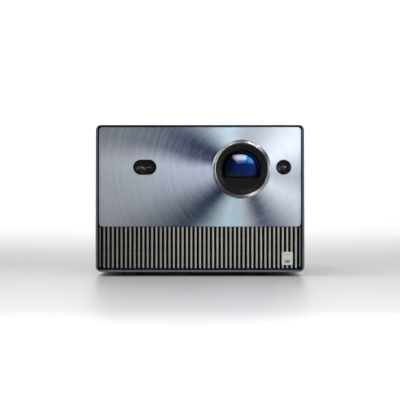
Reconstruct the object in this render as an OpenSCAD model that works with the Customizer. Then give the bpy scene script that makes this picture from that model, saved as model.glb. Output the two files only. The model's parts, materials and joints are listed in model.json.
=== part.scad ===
// Compact table-top laser projector for the home.
// A rounded sleeve holds a spun-metal face with an offset lens, a barred
// speaker grille below it, and the optical engine, cooling and boards inside.
// Front faces -Y, +X is to the right as seen from the front, +Z is up.
// Origin: centre of the footprint, on the surface the feet stand on.

/* [Body] */
// Width across the side walls
body_w = 248; // [246:1:256]
// Height of the housing without its feet
body_h = 175; // [175:1:182]
// Depth from the front rim to the rear rim
body_d = 234; // [234:1:242]
// Outer corner radius of the sleeve
corner_r = 7; // [6:0.5:8]
// Side wall thickness
side_wall = 2.7; // [2.4:0.1:2.9]
// Roof thickness
roof_t = 1.9; // [1.7:0.1:2.2]
// Floor thickness
floor_t = 3; // [2.8:0.1:3.2]
// Height of the rubber feet
foot_h = 5; // [4.5:0.5:6]

/* [Front face] */
// How far the metal face lies behind the rim
panel_recess = 3; // [2.5:0.1:3.5]
// Thickness of the metal face
panel_t = 1.5; // [1.2:0.1:1.8]
// Gap between the metal face and the rim
panel_gap = 1; // [0.7:0.1:1.2]
// Height of the barred grille under the metal face
grille_h = 53.8; // [52:0.2:56]
// Corner radius of the metal face
panel_r = 4.2; // [3:0.1:5]
// Bar spacing of the grille
bar_pitch = 5.194; // [5.18:0.002:5.2]
// Bar width
bar_w = 2.4; // [2.2:0.1:2.9]
// Bar depth
bar_d = 3.6; // [3.2:0.1:3.6]

/* [Lens] */
// Lens axis, to the right of centre
lens_x = 49.6; // [48:0.1:51]
// Lens axis height above the underside of the sleeve
lens_up = 122.3; // [121:0.1:123]
// Outer radius of the bright trim ring
ring_r = 35.1; // [34.5:0.1:36]
// Visible radius of the glass
glass_r = 23.4; // [22:0.1:23.4]
// Height of the masked segment's edge below the lens axis
mask_drop = 10.1; // [9.5:0.1:12]
// Focus ring teeth
ring_teeth = 64; // [64:16:64]
// Focus pinion teeth
pinion_teeth = 16; // [16:16:16]
// Gear module
gear_m = 1; // [1:0.1:1]

/* [Sensors] */
// Pill window, distance left of centre
pill_x = 65.7; // [60:0.1:70]
// Pill window width
pill_w = 27.3; // [25:0.1:30]
// Pill window height
pill_h = 17.8; // [17:0.1:20]
// Round camera, distance right of centre
cam_x = 99.6; // [98:0.1:102]
// Round camera outer radius
cam_r = 8.8; // [8:0.1:9.5]
// Height of both windows above the underside of the sleeve
eye_up = 124.5; // [123:0.1:126]

/* [Cooling] */
// Fan frame size
fan_s = 80; // [76:1:80]
// Number of fan blades
fan_blades = 9; // [7:2:11]
// Number of fins on the laser heat sink
fin_n = 13; // [9:1:13]

/* [Sound] */
// Distance of each driver from the centre line
driver_x = 73; // [72:0.5:75]

/* [Hidden] */
$fn = 64;

hw = body_w / 2;
yf = -body_d / 2;
yr = body_d / 2;
zb = foot_h;
zt = foot_h + body_h;
xi = hw - side_wall;
zi0 = zb + floor_t;
zi1 = zt - roof_t;

yp0 = yf + panel_recess;          // front of the metal face
yp1 = yp0 + panel_t;              // back of the metal face
yc0 = yf + 9;                     // front of the carrier plate
yc1 = yc0 + 2.8;                  // back of the carrier plate
px = xi - panel_gap;              // half width of the metal face
pz0 = zb + grille_h;              // lower edge of the metal face
pz1 = zi1 - panel_gap + 0.2;      // upper edge of the metal face
lz = zb + lens_up;
ez = zb + eye_up;
yb1 = yc0 - 1.6;                  // back of the bars
yb0 = yb1 - bar_d;                // front of the bars
bars_z0 = zb + 4.4;
bars_z1 = pz0 - 0.5;
bar_half = 23;                    // bars each side of the middle one
badge_x = 20 * bar_pitch;
ys = yc1 + 0.4;                   // front plane of the speaker flanges
driver_z = zb + 27.8;
slot_w = bar_pitch - bar_w;
pivot_y = yf + 50;
pivot_z = zb + 3.2;
tripod_y = -12;
vent_y0 = -20;
vent_y1 = 95;
vent_z0 = zb + 25;
vent_z1 = zb + 145;
fan_y = 15;
fan_z = zb + 120;
fan_t = 20;
yk0 = yr - 5;                     // inner face of the rear cover
yk1 = yr - 2;                     // outer face of the rear cover
ybay = yr - 11;                   // floor of the port bay
board_z = zb + 11;
port_z = board_z + 1.6;
button_x = 98;
button_z = zb + 152;
focus_lead = 0.05;                // carriage travel per degree of ring turn
gear_a = 225;                     // direction from the lens axis to the pinion
gear_c = gear_m * (ring_teeth + pinion_teeth) / 2 + 0.15;
pin_x = lens_x + gear_c * cos(gear_a);
pin_z = lz + gear_c * sin(gear_a);
boss_x = hw - 12;
boss_z = [zb + 9, zt - 9];
feet = [[-85, yf + 22], [85, yf + 22], [-85, yr - 22], [85, yr - 22]];
barrel_screws = [for (a = [45:90:315]) [lens_x + 30 * cos(a), lz + 30 * sin(a)]];
slate = "#46525f";
silver = "#9d9b95";
carbon = "#141518";

// ---------------------------------------------------------------- helpers

function arc(cx, cy, r, a0, a1, n) =
  [for (i = [0:n]) let (a = a0 + (a1 - a0) * i / n) [cx + r * cos(a), cy + r * sin(a)]];

// Rounded rectangle between two corners
module rr(x0, x1, y0, y1, r) {
  translate([x0 + r, y0]) square([x1 - x0 - 2 * r, y1 - y0]);
  translate([x0, y0 + r]) square([x1 - x0, y1 - y0 - 2 * r]);
  for (x = [x0 + r, x1 - r], y = [y0 + r, y1 - r]) translate([x, y]) circle(r = r);
}

// Pill of a width and height round a centre
module pill(cx, cy, w, h) {
  translate([cx - w / 2 + h / 2, cy - h / 2]) square([w - h, h]);
  for (x = [cx - w / 2 + h / 2, cx + w / 2 - h / 2]) translate([x, cy]) circle(r = h / 2);
}

// Extrudes an X-Z outline along Y
module ext(y0, y1) { translate([0, y1, 0]) rotate([90, 0, 0]) linear_extrude(y1 - y0) children(); }

// Box between two corners
module bx(x0, x1, y0, y1, z0, z1) { translate([x0, y0, z0]) cube([x1 - x0, y1 - y0, z1 - z0]); }

// Cylinder along Y
module yc(x, z, y0, y1, r) { translate([x, y0, z]) rotate([-90, 0, 0]) cylinder(r = r, h = y1 - y0); }

// Cylinder along X
module xc(y, z, x0, x1, r) { translate([x0, y, z]) rotate([0, 90, 0]) cylinder(r = r, h = x1 - x0); }

// Revolves an (r, y) profile round an axis along Y
module rev(x, z) { translate([x, 0, z]) rotate([-90, 0, 0]) rotate_extrude() children(); }

// Involute spur gear outline
function invdeg(a) = tan(a) * 180 / PI - a;
function flank(r, n, m, bl) = let (rp = m * n / 2, rb = rp * cos(20))
  90 / n - bl / rp * 90 / PI + invdeg(20) - invdeg(acos(min(1, rb / r)));
function gear(n, m, bl, k = 4) = let (rp = m * n / 2, rb = rp * cos(20),
    ra = rp + 0.9 * m, ri = rp - 1.25 * m, r0 = max(rb, ri + 0.05))
  [for (i = [0:n - 1]) let (c = i * 360 / n) each concat(
    [let (t = c - flank(r0, n, m, bl)) ri * [cos(t), sin(t)]],
    [for (j = [0:k]) let (r = r0 + (ra - r0) * j / k, t = c - flank(r, n, m, bl)) r * [cos(t), sin(t)]],
    [for (j = [k:-1:0]) let (r = r0 + (ra - r0) * j / k, t = c + flank(r, n, m, bl)) r * [cos(t), sin(t)]],
    [let (t = c + flank(r0, n, m, bl)) ri * [cos(t), sin(t)]])];

// Spherical cap profile points from the axis out to radius a; s = 1 bulges to -Y
function cap(y, rs, a, s, n = 14) =
  [for (i = [0:n]) let (r = a * i / n) [r, y + s * (rs - sqrt(rs * rs - r * r))]];
function rcap(y, rs, a, s, n = 14) =
  [for (i = [n:-1:0]) let (r = a * i / n) [r, y + s * (rs - sqrt(rs * rs - r * r))]];

// M3 pan-head screw along Y, head seated at y, shank towards -Y
module screw_y(x, z, y, s = -1, l = 8) {
  yc(x, z, min(y, y + s * l), max(y, y + s * l), 1.45);
  difference() {
    yc(x, z, min(y, y - s * 1.8), max(y, y - s * 1.8), 2.8);
    bx(x - 1.6, x + 1.6, min(y - s * 0.9, y - s * 2), max(y - s * 0.9, y - s * 2), z - 0.35, z + 0.35);
    bx(x - 0.35, x + 0.35, min(y - s * 0.9, y - s * 2), max(y - s * 0.9, y - s * 2), z - 1.6, z + 1.6);
  }
}

// ---------------------------------------------------------------- housing

module housing_sleeve() {
  color(slate) difference() {
    intersection() {
    ext(yf, yr) rr(-hw, hw, zb, zt, corner_r);
    union() {
      difference() {
        ext(yf, yr) rr(-hw, hw, zb, zt, corner_r);
        ext(yf - 1, yr + 1) rr(-xi, xi, zi0, zi1, corner_r - side_wall + 0.2);
      }
      translate([0, tripod_y, zb + 1]) cylinder(r = 9, h = 10);
      for (s = [-1, 1], z = boss_z)
        bx(s > 0 ? boss_x - 5 : -xi - 0.5, s > 0 ? xi + 0.5 : -boss_x + 5, yk0 - 16, yk0,
           z < lz ? zb + 1 : z - 5, z < lz ? z + 5 : zt - 1);
      for (s = [-1, 1], z = [zi0 + 60, zi1 - 30])
        bx(s > 0 ? xi - 3 : -xi - 0.5, s > 0 ? xi + 0.5 : -xi + 3, yc1, yc1 + 8, z, z + 14);
      bx(-33.4, 33.4, yf + 15, pivot_y + 6, zb + 1, zb + 9.2);
    }
    }
    for (s = [-1, 1])
      translate([s > 0 ? xi - 1 : -hw - 1, 0, 0]) rotate([90, 0, 90])
        linear_extrude(side_wall + 2) rr(vent_y0, vent_y1, vent_z0, vent_z1, 5);
    bx(-31, 31, yf + 17, pivot_y + 4, zb - 1, zb + 7.2);
    xc(pivot_y, pivot_z, -33, 33, 1.2);
    bx(-12, 12, yf + 13, yf + 17.5, zb - 1, zb + 2.2);
    translate([0, tripod_y, zb - 1]) cylinder(r = 6, h = 11);
    for (f = feet) translate([f[0], f[1], zb - 1]) cylinder(r = 3, h = floor_t + 2);
    for (s = [-1, 1], z = boss_z) yc(s * boss_x, z, yk0 - 12, yk0 + 1, 1.5);
  }
}

module rubber_feet() {
  color("#1c1d1f") for (f = feet) translate([f[0], f[1], 0]) {
    rotate_extrude() polygon([[0, 0.5], [5.4, 0.5], [5.8, 0], [7.6, 0], [8.3, 0.8], [8.3, zb], [0, zb]]);
    translate([0, 0, zb]) cylinder(r = 3, h = floor_t);
  }
}

module tripod_insert() {
  color("#b9a26a") translate([0, tripod_y, zb]) difference() {
    cylinder(r = 6, h = 9.8);
    translate([0, 0, -1]) cylinder(r = 3.175, h = 10);
  }
}

module tilt_foot() {
  color("#2b3036") difference() {
    union() {
      translate([0, 0, zb + 0.6]) linear_extrude(3.6)
        rr(-30, 30, yf + 19, pivot_y, 5);
      xc(pivot_y, pivot_z, -30.4, 30.4, 2.6);
    }
    xc(pivot_y, pivot_z, -32, 32, 1.28);
    for (x = [-18, 0, 18]) bx(x - 7, x + 7, yf + 32, pivot_y - 6, zb + 2.2, zb + 5);
    bx(-23, 23, yf + 20.5, yf + 26.5, zb, zb + 1.6);
  }
}

module tilt_foot_pad() {
  color("#1c1d1f") bx(-23, 23, yf + 20.5, yf + 26.5, zb + 0.4, zb + 1.6);
}

module tilt_foot_pin() { color("#b8bcc2") xc(pivot_y, pivot_z, -33, 33, 1.2); }

module rear_cover() {
  color("#2a3038") difference() {
    union() {
      ext(yk0, yk1) rr(-xi + 0.35, xi - 0.35, zi0 + 0.35, zi1 - 0.35, 4);
      bx(-80, 80, ybay - 2, yk0 + 1, zb + 7, zb + 36);
    }
    bx(-78, 78, ybay, yk1 + 1, zb + 9, zb + 34);
    for (i = [-15:15]) bx(i * bar_pitch - slot_w / 2, i * bar_pitch + slot_w / 2, yk0 - 1, yk1 + 1, zb + 60, zb + 140);
    yc(button_x, button_z, yk0 - 1, yk1 + 1, 6.7);
    yc(button_x - 14, button_z, yk0 - 1, yk1 + 1, 1.3);
    for (s = [-1, 1], z = boss_z) {
      yc(s * boss_x, z, yk0 - 1, yk1 + 1, 1.7);
      yc(s * boss_x, z, yk1 - 1.2, yk1 + 1, 3.2);
    }
    // socket openings in the bay floor
    yc(-64, port_z + 5.5, ybay - 3, ybay + 1, 3.4);
    yc(-44, port_z + 3.4, ybay - 3, ybay + 1, 2.6);
    bx(-30.4, -23.6, ybay - 3, ybay + 1, port_z + 1.4, port_z + 8.2);
    for (x = [-6, 16]) bx(x - 7.8, x + 7.8, ybay - 3, ybay + 1, port_z - 0.2, port_z + 6.6);
    for (x = [38, 58]) bx(x - 7.2, x + 7.2, ybay - 3, ybay + 1, port_z - 0.2, port_z + 7.6);
  }
}

module side_vent_grilles() {
  color(slate) for (s = [-1, 1]) difference() {
    union() {
      translate([s > 0 ? xi - 2.5 : -hw + 0.6, 0, 0]) rotate([90, 0, 90])
        linear_extrude(side_wall + 1.9) rr(vent_y0 + 0.2, vent_y1 - 0.2, vent_z0 + 0.2, vent_z1 - 0.2, 4.8);
      bx(s > 0 ? xi - 2.5 : -xi, s > 0 ? xi : -xi + 2.5, vent_y0 - 4, vent_y1 + 4, vent_z0 - 4, vent_z1 + 4);
    }
    for (i = [0:20]) let (y = (vent_y0 + vent_y1) / 2 + (i - 10) * bar_pitch)
      bx(s > 0 ? xi - 4 : -hw - 1, s > 0 ? hw + 1 : -xi + 4, y - slot_w / 2, y + slot_w / 2, vent_z0 + 3.5, vent_z1 - 3.5);
  }
}

module m3_screws() {
  color("#55585c") {
    for (s = [-1, 1], z = boss_z) screw_y(s * boss_x, z, yk1 - 1.2);
    for (p = barrel_screws) screw_y(p[0], p[1], -32, 1, 6.4);
  }
}

// ---------------------------------------------------------------- front

module front_panel() {
  color("#aab2bb") difference() {
    ext(yp0, yp1) rr(-px, px, pz0, pz1, panel_r);
    yc(lens_x, lz, yp0 - 1, yp1 + 1, ring_r - 2);
    yc(cam_x, ez, yp0 - 1, yp1 + 1, cam_r + 0.1);
    ext(yp0 - 1, yp1 + 1) pill(-pill_x, ez, pill_w + 0.2, pill_h + 0.2);
  }
}

module front_carrier() {
  color(carbon) difference() {
    union() {
      ext(yc0, yc1) rr(-xi + 0.4, xi - 0.4, zi0 + 0.3, zi1 - 0.3, 3.8);
      ext(yp1, yc0 + 0.5) rr(-px + 1.2, px - 1.2, pz0 + 1.2, pz1 - 1.2, 3.2);
    }
    yc(lens_x, lz, yp0 - 1, yc1 + 1, ring_r - 2);
    yc(cam_x, ez, yp0 - 1, yc1 + 1, 6);
    yc(cam_x, ez, yp0 - 1, yc0, cam_r + 0.1);
    ext(yp0 - 1, yc0) pill(-pill_x, ez, pill_w + 0.2, pill_h + 0.2);
    ext(yc0, yc1 + 1) rr(-pill_x - 10, -pill_x + 10, ez - 6, ez + 6, 2);
    for (s = [-1, 1])
      ext(yb1 - 1, yc1 + 1) rr(s * driver_x - 21, s * driver_x + 21, driver_z - 20.4, driver_z + 20.4, 6);
  }
}

module speaker_grille() {
  color(silver) {
    for (i = [-bar_half:bar_half]) let (z0 = bars_z0 + (abs(i) == bar_half ? 1.6 : 0))
      translate([i * bar_pitch, 0, z0]) linear_extrude(bars_z1 - z0)
        polygon([[bar_w / 2, yb1 + 0.1], [-bar_w / 2, yb1 + 0.1], [-bar_w / 2, yb0 + 1.1], [-bar_w / 2 + 0.1, yb0 + 0.6],
                 [-bar_w / 2 + 0.35, yb0 + 0.2], [-bar_w / 2 + 0.7, yb0], [bar_w / 2 - 0.7, yb0],
                 [bar_w / 2 - 0.35, yb0 + 0.2], [bar_w / 2 - 0.1, yb0 + 0.6], [bar_w / 2, yb0 + 1.1]]);
    for (z = [bars_z0 + 1.8, bars_z0 + 15, bars_z0 + 31, bars_z1 - 4])
      bx(-xi + 0.8, xi - 0.8, yb1, yc0, z, z + 2.4);
  }
}

module grille_cloth() { color("#060606") bx(-xi + 3.2, xi - 3.2, yc1, yc1 + 0.4, bars_z0 + 0.6, bars_z1 - 0.6); }

module grille_badge() {
  color("#c9c9c5") ext(yb0 - 0.9, yb0) rr(badge_x - 6.5, badge_x + 6.5, zb + 8.3, zb + 23.7, 1.2);
}

module lens_trim_ring() {
  color("#c7cacd") rev(lens_x, lz) polygon(concat(
    [[ring_r, yp0], [ring_r, yp0 + -1.5]],
    arc(ring_r - 1.3, yp0 - 1.5, 1.3, 0, -80, 6),
    [[ring_r - 2.6, yf]], arc(ring_r - 3.4, yf + 0.9, 0.8, -100, -170, 4),
    [[ring_r - 4.2, yf + 2], [ring_r - 4.2, yc1], [ring_r - 2.1, yc1], [ring_r - 2.1, yp0]]));
}

module lens_bezel() {
  color("#232326") rev(lens_x, lz) polygon([
    [ring_r - 4.4, yf + 0.9], [ring_r - 5.2, yf + 0.9], [ring_r - 5.6, yf + 1.6],
    [ring_r - 6.9, yf + 4.0], [ring_r - 8.6, yf + 6.6], [ring_r - 10.4, yf + 8.6], [glass_r + 1.6, yf + 9.8],
    [glass_r + 1.6, yf + 10.8], [ring_r - 4.4, yf + 10.8]]);
}

module lens_mask() {
  color("#050506") difference() {
    yc(lens_x, lz, yf + 10.8, yc1, ring_r - 4.4);
    difference() {
      yc(lens_x, lz, yf + 10, yc1 + 1, glass_r);
      bx(lens_x - 30, lens_x + 30, yf + 9, yc1 + 2, lz - 40, lz - mask_drop);
    }
  }
}

module lens_seal_ring() {
  color("#26262a") difference() {
    yc(lens_x, lz, yc1, yf + 19, 27.5);
    yc(lens_x, lz, yc1 - 1, yf + 20, 25.4);
  }
}

module sensor_bezels() {
  color("#0c0c0e") {
    difference() {
      ext(yp0 - 0.3, yc0) pill(-pill_x, ez, pill_w, pill_h);
      ext(yp0 - 1, yp0 + 1) pill(-pill_x, ez, pill_w - 2.6, pill_h - 2.6);
      rev(-pill_x - 4.4, ez - 0.9) polygon([[0, yp0 - 1], [5.6, yp0 - 1], [5.6, yp0 + 1], [3.7, yp0 + 2.2], [3.7, yc0 + 1], [0, yc0 + 1]]);
      for (x = [3.4, 6.6]) yc(-pill_x + x, ez - 0.2, yp0 - 1, yc0 + 1, 1.3);
    }
    difference() {
      yc(cam_x, ez, yp0 - 0.3, yc0, cam_r);
      rev(cam_x, ez) polygon([[0, yp0 - 1], [cam_r - 0.9, yp0 - 1], [cam_r - 0.9, yp0 - 0.1], [4.3, yp0 + 1.9], [3.9, yp0 + 1.9], [3.9, yc0 + 1], [0, yc0 + 1]]);
    }
  }
}

module sensor_lenses() {
  color("#1a1d26") {
    rev(-pill_x - 4.4, ez - 0.9) polygon(concat(cap(yp0 + 0.9, 5, 3.7, 1, 10), [[3.7, yc0], [0, yc0]]));
    for (x = [3.4, 6.6]) rev(-pill_x + x, ez - 0.2)
      polygon(concat(cap(yp0 + 0.6, 2, 1.3, 1, 8), [[1.3, yc0], [0, yc0]]));
    rev(cam_x, ez) polygon(concat(cap(yp0 + 0.7, 5.4, 3.9, 1, 10), [[3.9, yc0], [0, yc0]]));
  }
}

// ---------------------------------------------------------------- lens

module front_lens_element() {
  color([0.12, 0.16, 0.45, 0.5]) rev(lens_x, lz) polygon(concat(
    cap(yf + 13.4, 74, 23.3, 1), [[24, yf + 17.6], [24, yf + 24]], rcap(yf + 21.6, 110, 22, 1)));
}

module middle_lens_element() {
  color([0.2, 0.25, 0.4, 0.5]) rev(lens_x, lz) polygon(concat(
    cap(yf + 33, 76, 22, 1), [[24, yf + 36.8], [24, yf + 40]], rcap(yf + 43, 86, 22, -1)));
}

module rear_lens_element() {
  color([0.2, 0.25, 0.4, 0.5]) rev(lens_x, lz) polygon(concat(
    cap(yf + 67, 60, 20, 1), [[21.5, yf + 71], [21.5, yf + 74]], rcap(yf + 77, 70, 20, -1)));
}

module focus_carriage() {
  color("#1f2023") {
    difference() {
      yc(lens_x, lz, yf + 16, yf + 59, 25);
      yc(lens_x, lz, yf + 17.1, yf + 60, 24);
      yc(lens_x, lz, yf + 15, yf + 18, 23.5);
    }
    translate([lens_x, yf + 27, lz + 24.4]) cylinder(r = 1.5, h = 4.8);
  }
}

module lens_barrel() {
  color("#2c2d31") difference() {
    union() {
      yc(lens_x, lz, yf + 19, -28, 27.5);
      yc(lens_x, lz, -32, -28, 34);
      yc(lens_x, lz, yf + 47.2, yf + 51, 30);
      ext(-36, -32) polygon(concat(arc(pin_x, pin_z, 11, 135, 315, 10), arc(lens_x, lz, 26, 270, 360, 4), arc(lens_x, lz, 26, 90, 180, 4)));
    }
    yc(lens_x, lz, yf + 18, yf + 62, 25.06);
    yc(lens_x, lz, yf + 61, -27, 21.5);
    bx(lens_x - 1.6, lens_x + 1.6, yf + 23, yf + 31, lz + 15, lz + 30);
    for (p = barrel_screws) yc(p[0], p[1], -40, -27, 1.6);
    for (p = barrel_screws) yc(p[0], p[1], -40, -32, 3.1);
  }
}

// Toothed ring with a slanted slot that drives the carriage's pin
module focus_ring() {
  color("#3a3b3f") difference() {
    union() {
      translate([lens_x, 0, lz]) ext(yf + 38, yf + 45) polygon(gear(ring_teeth, gear_m, 0.16, 2));
      yc(lens_x, lz, yf + 22, yf + 47, 29.6);
    }
    yc(lens_x, lz, yf + 21, yf + 48, 27.56);
    for (a = [-34:2:34]) translate([lens_x, yf + 27 + focus_lead * a, lz]) rotate([0, -a, 0])
      translate([0, 0, 26]) cylinder(r = 1.7, h = 5, $fn = 32);
  }
}

module focus_pinion() {
  color("#d8d4c4") {
    translate([pin_x, 0, pin_z]) ext(yf + 38.3, yf + 44.7) rotate(180 / pinion_teeth) polygon(gear(pinion_teeth, gear_m, 0.16, 3));
    yc(pin_x, pin_z, yf + 36.5, yf + 56.6, 1.5);
  }
}

module focus_motor() {
  color("#8c8f94") difference() {
    union() {
      yc(pin_x, pin_z, yf + 55, -36, 10);
      yc(pin_x, pin_z, yf + 53.4, yf + 55, 3.4);
    }
    yc(pin_x, pin_z, yf + 50, yf + 57, 1.56);
  }
}

// ---------------------------------------------------------------- optical engine

module engine_housing() {
  color("#6d7278") difference() {
    bx(5, 95, -28, 52, lz - 35, lz + 35);
    difference() {
      bx(8, 92, -25, 53, lz - 32, lz + 32);
      bx(lens_x - 16, lens_x + 16, 20, 42, lz - 33, lz - 19);
      for (s = [-1, 1]) bx(lens_x + s * 21 - 5, lens_x + s * 21 + 5, -22, -14, lz - 33, lz - 28);
    }
    yc(lens_x, lz, -29, -20, 21);
    for (p = barrel_screws) yc(p[0], p[1], -29, -24, 1.5);
    for (y = [-14, 12, 38]) xc(y, lz - 1, 4, 9, 5);
  }
}

module laser_modules() {
  color("#a98a3f") for (y = [-14, 12, 38]) {
    bx(-7, 5, y - 11, y + 11, lz - 15, lz + 13);
    xc(y, lz - 1, 5, 9.5, 4.8);
  }
}

module diffuser_motor() {
  color("#9da1a6") { xc(30, lz - 22, 8, 11.6, 7); xc(30, lz - 22, 11.6, 15.2, 0.95); }
}

module diffuser_wheel() {
  color([0.85, 0.9, 0.92, 0.7]) difference() {
    union() { xc(30, lz - 22, 12.6, 13.8, 24 / 2 - 3 + 0); xc(30, lz - 22, 12.2, 14.6, 3); }
    xc(30, lz - 22, 11, 17, 1);
  }
}

module prism_block() {
  color([0.8, 0.86, 0.9, 0.5]) translate([lens_x - 20, 0, lz - 19])
    linear_extrude(38) polygon([[0, 16], [40, 16], [40, 46], [32, 46]]);
}

module shifter_frame() {
  color("#34363a") difference() {
    bx(lens_x - 28, lens_x + 28, -22, -14, lz - 28, lz + 28);
    bx(lens_x - 22, lens_x + 22, -23, -13, lz - 22, lz + 22);
    xc(-18, lz, lens_x - 26, lens_x + 26, 0.86);
  }
}

module shifter_gimbal() {
  color("#8f9399") difference() {
    union() {
      bx(lens_x - 21, lens_x + 21, -20, -16, lz - 21, lz + 21);
      xc(-18, lz, lens_x - 25, lens_x + 25, 0.8);
    }
    bx(lens_x - 17, lens_x + 17, -23, -13, lz - 17, lz + 17);
    translate([lens_x, -18, lz - 20]) cylinder(r = 0.86, h = 40);
  }
}

module shifter_glass() {
  color([0.75, 0.85, 0.9, 0.5]) {
    bx(lens_x - 16.2, lens_x + 16.2, -19, -17, lz - 16.2, lz + 16.2);
    for (s = [-1, 1]) translate([lens_x, -18, s > 0 ? lz + 15.2 : lz - 19.4]) cylinder(r = 0.8, h = 4.2);
  }
}

module imaging_chip() {
  color("#3b3f52") {
    bx(lens_x - 17, lens_x + 17, 52, 54.6, lz - 12, lz + 12);
    bx(lens_x - 11, lens_x + 11, 51, 52, lz - 7, lz + 7);
  }
}

module imaging_board() {
  color("#1d5a3a") {
    difference() {
      bx(5, 95, 54.6, 56.2, lz - 33, lz + 33);
      bx(lens_x - 12, lens_x + 12, 54, 57, lz - 8, lz + 8);
    }
    bx(14, 28, 52.2, 54.6, lz + 15, lz + 26);
    for (x = [5, 91], z = [lz - 31, lz + 27]) bx(x, x + 4, 52, 54.6, z, z + 4);
  }
}

module chip_heat_sink() {
  color("#b5b9be") {
    bx(lens_x - 11.6, lens_x + 11.6, 54.6, 58, lz - 7.6, lz + 7.6);
    bx(lens_x - 24, lens_x + 24, 58, 61, lz - 20, lz + 20);
    for (i = [0:9]) bx(lens_x - 24 + i * 5.2, lens_x - 22.8 + i * 5.2, 61, 80, lz - 20, lz + 20);
  }
}

module chip_ribbon_cable() {
  color("#d9dbe0") translate([70, 0, 0]) rotate([90, 0, 90]) linear_extrude(18) polygon([
    [56.2, lz - 24], [56.2, lz - 31], [59, lz - 31], [61, lz - 34], [64, lz - 60], [74, port_z + 20], [76, port_z + 6], [76, port_z],
    [78, port_z], [78, port_z + 6], [76.4, port_z + 20], [66.4, lz - 60], [63.2, lz - 33], [60.6, lz - 29], [57.6, lz - 29], [57.6, lz - 24]]);
}

// ---------------------------------------------------------------- cooling

module laser_heat_sink() {
  color("#b5b9be") difference() {
    union() {
      bx(-13, -7, -27, 51, lz - 35, lz + 33);
      for (k = [0:fin_n - 1]) bx(-93, -12.5, -25, 49, lz - 21 + k * 4.3, lz - 20 + k * 4.3);
    }
    for (y = [-14, 12, 38]) {
      xc(y, lz - 31, -14, -6, 3);
      translate([-76, y, lz - 22]) cylinder(r = 3, h = 70);
    }
  }
}

module heat_pipes() {
  color("#b4693f") for (y = [-14, 12, 38]) {
    xc(y, lz - 31, -68, -7.5, 3);
    translate([-68, y, lz - 23]) rotate([90, 0, 0]) rotate_extrude(angle = 90, start = 180) translate([8, 0]) circle(r = 3);
    translate([-76, y, lz - 23]) cylinder(r = 3, h = 56.5);
  }
}

// Fan frame with its outer face at z 0 and its depth along +z
module fan_frame() {
  h = fan_s / 2;
  difference() {
    linear_extrude(fan_t) rr(-h, h, -h, h, 4);
    translate([0, 0, -1]) cylinder(r = h - 2, h = fan_t + 2);
    for (x = [-h + 4.6, h - 4.6], y = [-h + 4.6, h - 4.6]) translate([x, y, -1]) cylinder(r = 2, h = fan_t + 2);
  }
  difference() {
    union() {
      translate([0, 0, fan_t - 2]) cylinder(r = 14, h = 2);
      for (a = [45:90:315]) rotate(a) translate([12, -1.6, fan_t - 2]) cube([h - 13, 3.2, 2]);
      translate([0, 0, 8]) cylinder(r = 4, h = fan_t - 8);
    }
    translate([0, 0, 7]) cylinder(r = 1.55, h = fan_t - 9.5);
  }
}

module fan_rotor() {
  difference() {
    union() {
      translate([0, 0, 3]) cylinder(r = 13, h = 13);
      for (i = [0:fan_blades - 1]) rotate(i * 360 / fan_blades)
        translate([11.5, 0, 9.5]) rotate([38, 0, 0]) translate([0, -8.4, -0.8]) cube([fan_s / 2 - 15.5, 16.8, 1.6]);
    }
    translate([0, 0, 5.5]) cylinder(r = 11.6, h = 12);
  }
  translate([0, 0, 4]) cylinder(r = 1.5, h = 12.8);
}

module at_left() { translate([-xi + 2.5, fan_y, fan_z]) rotate([0, 90, 0]) children(); }
module at_right() { translate([xi - 2.5, fan_y, fan_z]) rotate([0, -90, 0]) children(); }
module intake_fan_frame() { color("#1e1f22") at_left() fan_frame(); }
module intake_fan_rotor() { color("#2b2c30") at_left() fan_rotor(); }
module exhaust_fan_frame() { color("#1e1f22") at_right() fan_frame(); }
module exhaust_fan_rotor() { color("#2b2c30") at_right() fan_rotor(); }

// ---------------------------------------------------------------- boards and sockets

module main_board() {
  color("#1d5a3a") {
    difference() {
      bx(-100, 100, 12, ybay - 2.5, board_z, port_z);
      for (x = [-94, 94], y = [18, 96]) translate([x, y, board_z - 1]) cylinder(r = 1.6, h = 4);
    }
    for (x = [-94, 94], y = [18, 96]) difference() {
      translate([x, y, zi0]) cylinder(r = 3.2, h = board_z - zi0);
      translate([x, y, zi0 + 1]) cylinder(r = 1.6, h = board_z);
    }
    bx(-20, 20, 30, 70, port_z, port_z + 2.4);
    bx(-52, -34, 34, 52, port_z, port_z + 1.6);
    bx(34, 60, 34, 48, port_z, port_z + 1.4);
    bx(34, 60, 54, 68, port_z, port_z + 1.4);
    for (x = [-72, -64]) translate([x, 24, port_z]) cylinder(r = 3.4, h = 8);
  }
}

module power_board() {
  color("#4a3b22") {
    bx(-98, -30, 56, 92, zb + 43, zb + 44.6);
    for (x = [-94, -34], y = [60, 88]) translate([x, y, port_z]) cylinder(r = 2.6, h = zb + 43 - port_z);
    for (x = [-90, -74]) translate([x, 66, zb + 44.6]) cylinder(r = 6.5, h = 8);
    bx(-62, -38, 60, 82, zb + 44.6, zb + 60);
    bx(-92, -72, 78, 88, zb + 44.6, zb + 54);
  }
}

module hdmi_sockets() {
  color("#a5a9ae") for (x = [-6, 16]) {
    difference() {
      bx(x - 7.6, x + 7.6, ybay - 12, ybay, port_z, port_z + 6.4);
      ext(ybay - 10, ybay + 1) polygon([[x - 7, port_z + 5.5], [x - 7, port_z + 2.6], [x - 5.4, port_z + 0.9], [x + 5.4, port_z + 0.9], [x + 7, port_z + 2.6], [x + 7, port_z + 5.5]]);
    }
    bx(x - 5.4, x + 5.4, ybay - 10, ybay - 1, port_z + 2.9, port_z + 4);
  }
}

module usb_sockets() {
  color("#a5a9ae") for (x = [38, 58]) {
    difference() {
      bx(x - 7, x + 7, ybay - 14, ybay, port_z, port_z + 7.2);
      bx(x - 6.3, x + 6.3, ybay - 12, ybay + 1, port_z + 0.9, port_z + 6.1);
    }
    bx(x - 5.4, x + 5.4, ybay - 12, ybay - 1.5, port_z + 3.9, port_z + 5.5);
  }
}

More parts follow.
